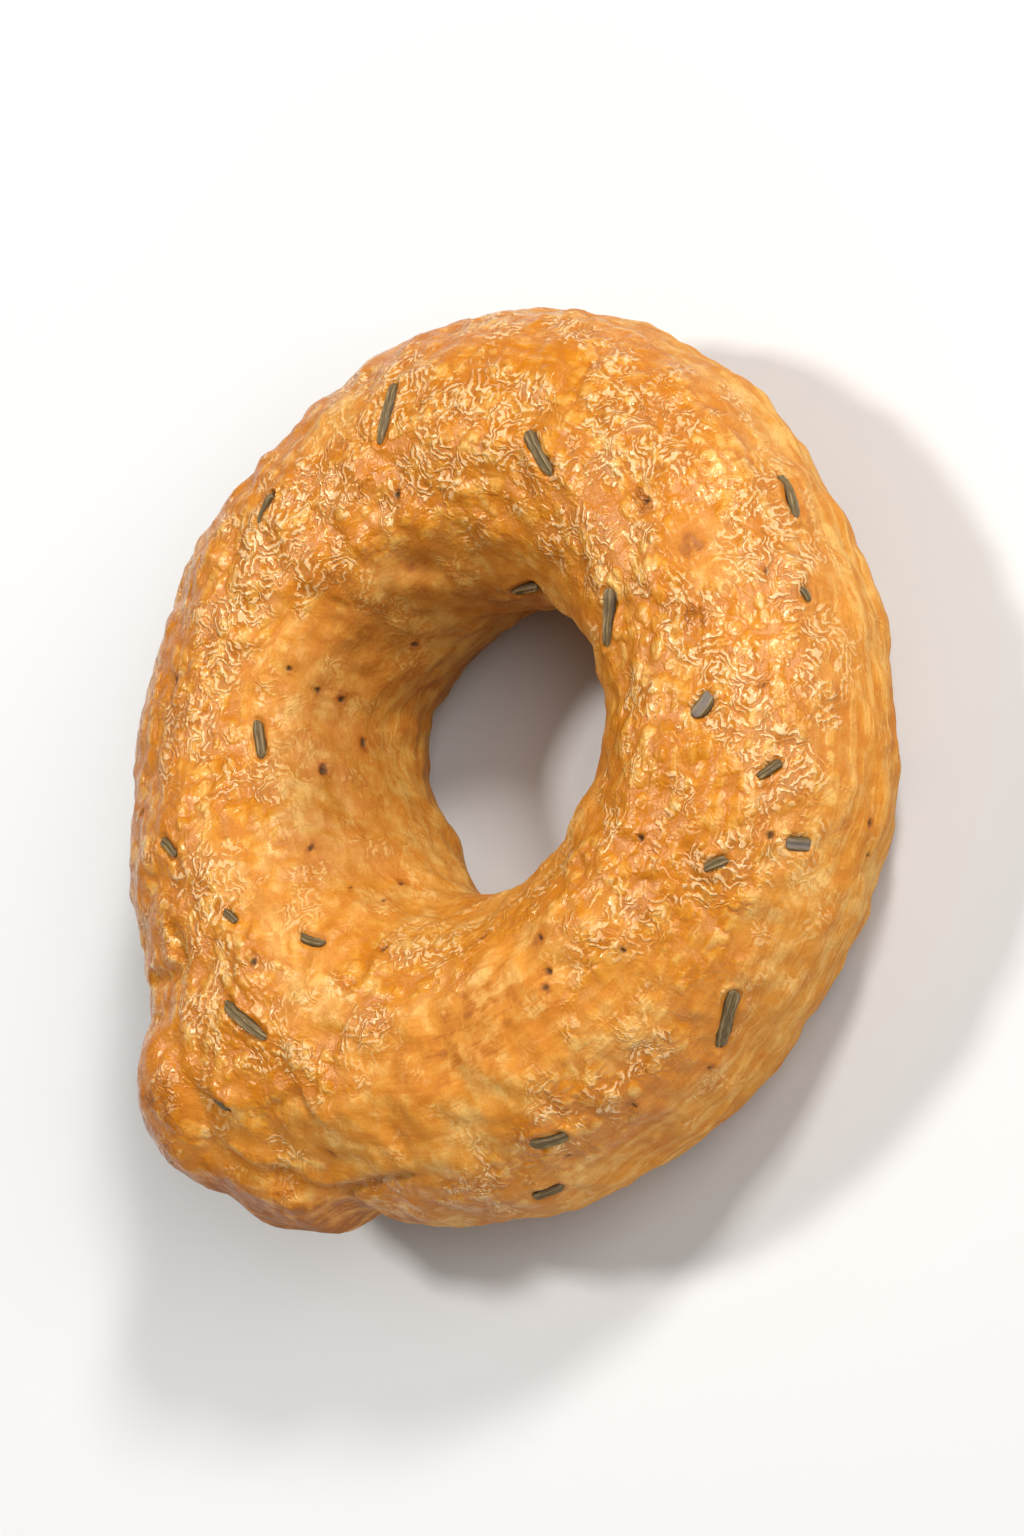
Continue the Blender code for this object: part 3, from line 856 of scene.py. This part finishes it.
# The picture is rolled, so that the lying ring stands as it does in the photograph.
shot = {
    "elevation": 51,                            # degrees
    "roll": 75.7,
    "distance": 520,                            # mm
    "pixelsPerMm": 20.0,
    "pictureHeight": 1536,
    "aimDown": 0.6,                             # mm
    "sensor": 36,
    "nearest": 0.01,                            # metres, where the view starts
}


def cameraAxes():
    e, r = math.radians(shot["elevation"]), math.radians(shot["roll"])
    right = Vector((math.cos(r), -math.sin(r) * math.sin(e), -math.sin(r) * math.cos(e)))
    up = Vector((math.sin(r), math.cos(r) * math.sin(e), math.cos(r) * math.cos(e)))
    back = Vector((0, -math.cos(e), math.sin(e)))
    return right, up, back


def placeCamera():
    right, up, back = cameraAxes()
    camera = bpy.data.objects.new("camera", bpy.data.cameras.new("camera"))
    aim = toFrame(Vector((0, 0, dough["ropeHeight"])) - up * shot["aimDown"])
    pose = Matrix((right, up, back)).transposed().to_4x4()
    pose.translation = aim + back * shot["distance"] * mm
    camera.matrix_world = pose
    camera.data.sensor_width = shot["sensor"]
    camera.data.lens = shot["sensor"] * shot["distance"] * shot["pixelsPerMm"] / shot["pictureHeight"]
    camera.data.clip_start = shot["nearest"]
    bpy.context.scene.collection.objects.link(camera)
    bpy.context.scene.camera = camera
    return aim


# Lamps, placed by how far they stand to the camera's right, up and back, in metres. The far one is a
# broad soft light that reaches all of the floor: its size is an angle in degrees.
lamps = {
    "leftSoftbox": {"place": (-0.34, 0.1, 0.12), "size": 0.055, "power": 0.9, "colour": (1.0, 0.98, 0.95)},
    "topSoftbox": {"place": (0.02, 0.3, 0.3), "size": 0.07, "power": 1.7, "colour": (1.0, 0.98, 0.95)},
    "front": {"place": (0.15, 0.15, 0.6), "size": 40, "power": 2.15, "colour": (1.0, 1.0, 1.0),
              "isFar": True},
    "below": {"place": (0.0, -0.35, 0.2), "size": 0.3, "power": 0.5, "colour": (1.0, 1.0, 1.0)},
}

studio = {
    "surroundingLight": 0.14,
    "floorColour": (0.55, 0.55, 0.55),
    "floorRoughness": 0.6,
    "floorHalfSize": 3,                         # metres
}


def placeLights(aim):
    right, up, back = cameraAxes()
    for name, lamp in lamps.items():
        isFar = lamp.get("isFar", False)
        light = bpy.data.lights.new(name, "SUN" if isFar else "AREA")
        if isFar:
            light.angle = math.radians(lamp["size"])
        else:
            light.size = lamp["size"]
        light.energy = lamp["power"]
        light.color = lamp["colour"]
        holder = bpy.data.objects.new(name, light)
        x, y, z = lamp["place"]
        holder.location = aim + right * x + up * y + back * z
        holder.rotation_euler = (aim - holder.location).to_track_quat("-Z", "Y").to_euler()
        bpy.context.scene.collection.objects.link(holder)
    world = bpy.data.worlds.new("studio")
    world.use_nodes = True
    background = world.node_tree.nodes["Background"]
    background.inputs["Color"].default_value = (1, 1, 1, 1)
    background.inputs["Strength"].default_value = studio["surroundingLight"]
    bpy.context.scene.world = world


def layFloor():
    bm = bmesh.new()
    bmesh.ops.create_grid(bm, x_segments=1, y_segments=1, size=studio["floorHalfSize"])
    mesh = bpy.data.meshes.new("floor")
    bm.to_mesh(mesh)
    bm.free()
    material, tree, shader = newMaterial("paleFloor")
    give(tree, shader.inputs["Base Color"], studio["floorColour"])
    give(tree, shader.inputs["Roughness"], studio["floorRoughness"])
    mesh.materials.append(material)
    floor = bpy.data.objects.new("floor", mesh)
    bpy.context.scene.collection.objects.link(floor)


mottle = mottleGroup()
buildCrust(crustMaterial(wrinkleGroup(), blisterGroup(), mottle))
buildRosemary(rosemaryMaterial(mottle))
placeLights(placeCamera())
layFloor()
bpy.context.scene.view_settings.view_transform = "Standard"
print("stage, camera and lights are set")
